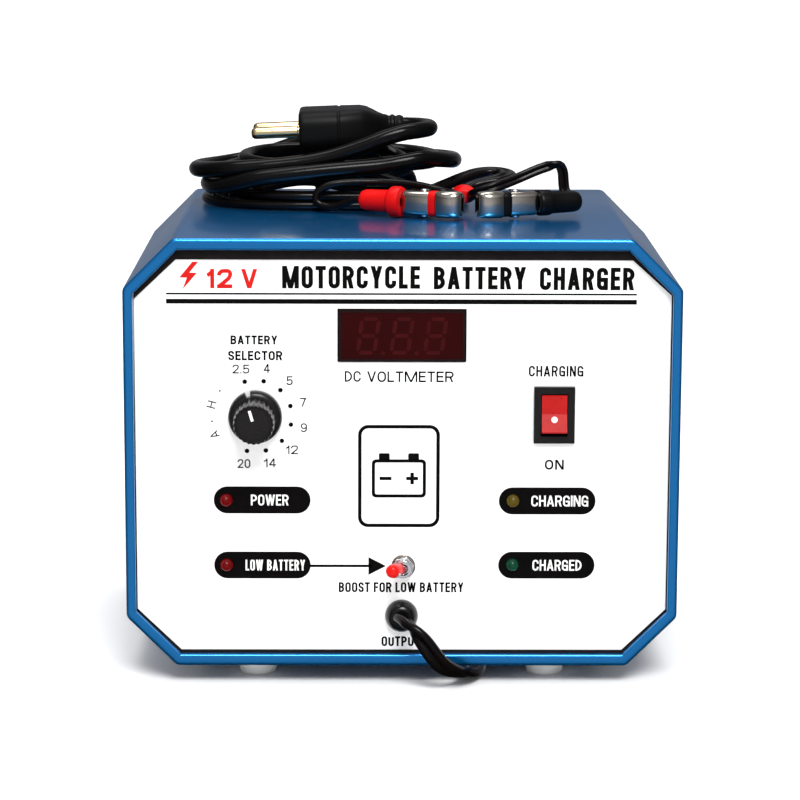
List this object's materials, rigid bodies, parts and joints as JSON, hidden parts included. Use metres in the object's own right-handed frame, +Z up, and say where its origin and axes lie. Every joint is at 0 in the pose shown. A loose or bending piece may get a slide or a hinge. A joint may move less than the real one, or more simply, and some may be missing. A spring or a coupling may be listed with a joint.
{
  "type": "motorcycle battery charger",
  "caption": "Bench battery charger: octagonal blue metal case with white control panel, selector knob, rocker and toggle switches, mains lead and clip lead on top.",
  "frame": {"origin": "under the middle of the case, on the plane that its feet stand on", "axes": "+X to the right of the control panel, +Y from the control panel to the rear, +Z up"},
  "size_m": [0.2082, 0.2184, 0.2051],
  "materials": {
    "case_paint": "glossy stoved enamel",
    "panel_paint": "satin white with black print",
    "foot_plastic": "matte white",
    "screw_steel": "bright plated",
    "black_plastic": "satin black",
    "display_face": "dark segment display",
    "meter_window": "dark red filter",
    "phenolic": "moulded switch body",
    "shaft_steel": "turned",
    "knob_plastic": "glossy black with white pointer",
    "rocker_red": "glossy red with white dot",
    "toggle_chrome": "bright plated",
    "cap_red": "glossy red",
    "led_red": "tinted lens, unlit",
    "led_yellow": "tinted lens, unlit",
    "led_green": "tinted lens, unlit",
    "grommet_black": "glossy black",
    "core_steel": "varnished laminations",
    "winding_copper": "enamelled copper under varnish",
    "bracket_steel": "plated strap",
    "board_green": "solder mask",
    "capacitor_sleeve": "shrunk sleeve",
    "heat_sink_aluminium": "extruded",
    "rectifier_epoxy": "moulded",
    "cord_pvc": "glossy black sheath",
    "plug_pvc": "moulded black",
    "pin_brass": "bright",
    "sleeve_red": "red sleeve",
    "clip_nickel": "nickel plated sheet",
    "boot_red": "soft red",
    "boot_black": "soft black"
  },
  "bodies": {
    "charger": {"case_wrap": "case_paint", "front_panel": "panel_paint", "rear_panel": "panel_paint", "foot_front_left": "foot_plastic", "foot_front_right": "foot_plastic", "foot_rear_left": "foot_plastic", "foot_rear_right": "foot_plastic", "side_screw_front_left": "screw_steel", "side_screw_front_right": "screw_steel", "side_screw_rear_left": "screw_steel", "side_screw_rear_right": "screw_steel", "voltmeter_housing": "black_plastic", "rocker_body": "black_plastic", "fuse_holder": "black_plastic", "voltmeter_display": "display_face", "voltmeter_lens": "meter_window", "selector_switch": "phenolic", "selector_nut": "screw_steel", "boost_switch": "toggle_chrome", "boost_nut": "toggle_chrome", "led_power": "led_red", "led_low_battery": "led_red", "led_charging": "led_yellow", "led_charged": "led_green", "output_grommet": "grommet_black", "mains_gland": "grommet_black", "transformer_core": "core_steel", "transformer_winding": "winding_copper", "transformer_bracket": "bracket_steel", "control_board": "board_green", "filter_capacitor": "capacitor_sleeve", "heat_sink": "heat_sink_aluminium", "bridge_rectifier": "rectifier_epoxy", "mains_cord": "cord_pvc", "mains_coil": "cord_pvc", "output_cord": "cord_pvc", "output_coil": "cord_pvc", "red_lead": "cord_pvc", "black_lead": "cord_pvc", "plug_body": "plug_pvc", "plug_pin_front": "pin_brass", "plug_pin_rear": "pin_brass", "split_sleeve": "sleeve_red", "clip_red_fixed_arm": "clip_nickel", "clip_red_rivet": "clip_nickel", "clip_red_spring": "clip_nickel", "clip_red_boot": "boot_red", "clip_black_fixed_arm": "clip_nickel", "clip_black_rivet": "clip_nickel", "clip_black_spring": "clip_nickel", "clip_black_boot": "boot_black"},
    "selector": {"selector_shaft": "shaft_steel", "selector_knob": "knob_plastic"},
    "rocker": {"rocker_paddle": "rocker_red"},
    "boost": {"boost_lever": "toggle_chrome", "boost_cap": "cap_red"},
    "fuse_cap": {"fuse_cap": "black_plastic"},
    "clip_red_jaw": {"clip_red_moving_jaw": "clip_nickel"},
    "clip_black_jaw": {"clip_black_moving_jaw": "clip_nickel"}
  },
  "joints": [
    {"name": "selector_turn", "type": "hinge", "parent": "charger", "child": "selector", "pos_m": [-0.054, -0.08, 0.1009], "axis": [0, 1, 0], "range_deg": [0, 210]},
    {"name": "rocker_rock", "type": "hinge", "parent": "charger", "child": "rocker", "pos_m": [0.0557, -0.073, 0.1017], "axis": [1, 0, 0], "range_deg": [0, 18]},
    {"name": "boost_tip", "type": "hinge", "parent": "charger", "child": "boost", "pos_m": [0.0005, -0.0775, 0.0443], "axis": [0, 0, 1], "range_deg": [0, 30]},
    {"name": "fuse_cap_turn", "type": "hinge", "parent": "charger", "child": "fuse_cap", "pos_m": [0.04, 0.08, 0.067], "axis": [0, 1, 0], "range_deg": [0, 60]},
    {"name": "clip_red_open", "type": "hinge", "parent": "charger", "child": "clip_red_jaw", "pos_m": [0.00916, -0.01811, 0.173], "axis": [0, 0, 1], "range_deg": [0, 22], "stiffness_Nm_per_rad": 0.2, "springref_deg": -34.38},
    {"name": "clip_black_open", "type": "hinge", "parent": "charger", "child": "clip_black_jaw", "pos_m": [0.04271, -0.01904, 0.173], "axis": [0, 0, -1], "range_deg": [0, 22], "stiffness_Nm_per_rad": 0.2, "springref_deg": -34.38}
  ]
}
